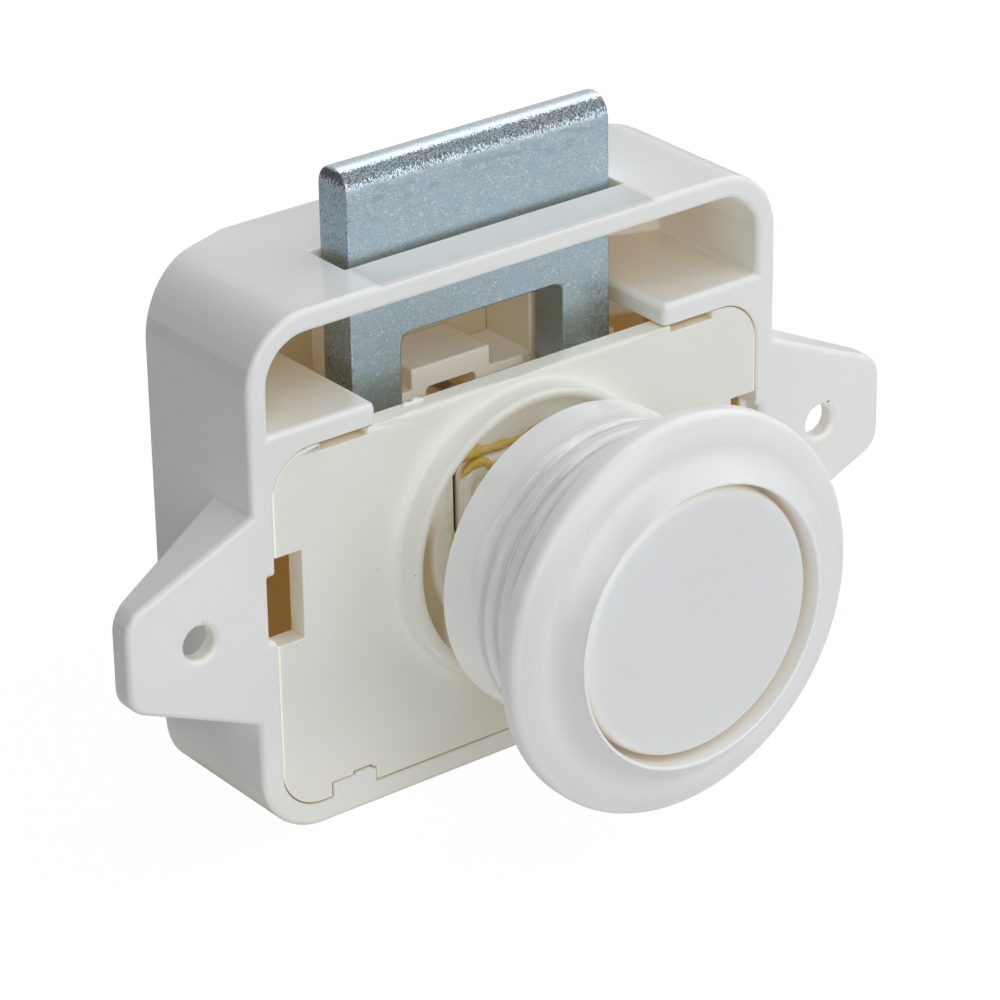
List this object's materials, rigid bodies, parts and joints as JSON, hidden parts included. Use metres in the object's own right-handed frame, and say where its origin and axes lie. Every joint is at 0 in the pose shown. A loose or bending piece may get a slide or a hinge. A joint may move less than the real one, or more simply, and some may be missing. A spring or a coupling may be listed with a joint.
{
  "type": "push button cabinet lock",
  "caption": "Push button furniture lock with a moulded case, screw ears, a forked sliding bolt driven by a cam slider, and a round button in a rosette for a cabinet or caravan door.",
  "frame": {"origin": "button axis on the inner face of the door, midway between the two ear screw holes", "axes": "+X along the case from ear to ear, +Y from the button into the cabinet, +Z the way the bolt is thrown"},
  "size_m": [0.0726, 0.0378, 0.0495],
  "materials": {
    "case_plastic": "smooth moulded",
    "cover_plastic": "satin moulded",
    "zinc_steel": "zinc plated",
    "slider_plastic": "satin moulded, greased",
    "spring_steel": "drawn wire",
    "button_plastic": "satin moulded",
    "barrel_plastic": "gloss moulded",
    "rosette_plastic": "gloss moulded"
  },
  "bodies": {
    "housing": {"case": "case_plastic", "cover_plate": "cover_plastic", "catch_wire": "spring_steel", "slider_spring_left": "spring_steel", "slider_spring_right": "spring_steel", "barrel": "barrel_plastic", "rosette": "rosette_plastic"},
    "push_button": {"cam_slider": "slider_plastic", "stem": "slider_plastic", "stem_screw": "spring_steel", "button_sleeve": "button_plastic", "button_cap": "button_plastic"},
    "bolt": {"bolt": "zinc_steel"}
  },
  "joints": [
    {"name": "button_slide", "type": "slide", "parent": "housing", "child": "push_button", "axis": [0, -1, 0], "range_m": [-0.0008, 0.007], "deforming": ["slider_spring_left", "slider_spring_right", "catch_wire"]},
    {"name": "bolt_slide", "type": "slide", "parent": "housing", "child": "bolt", "axis": [0, 0, -1], "range_m": [-0.0008, 0.007]}
  ],
  "couplings": [
    {"joint": "bolt_slide", "follows": "button_slide", "ratio": 1}
  ]
}
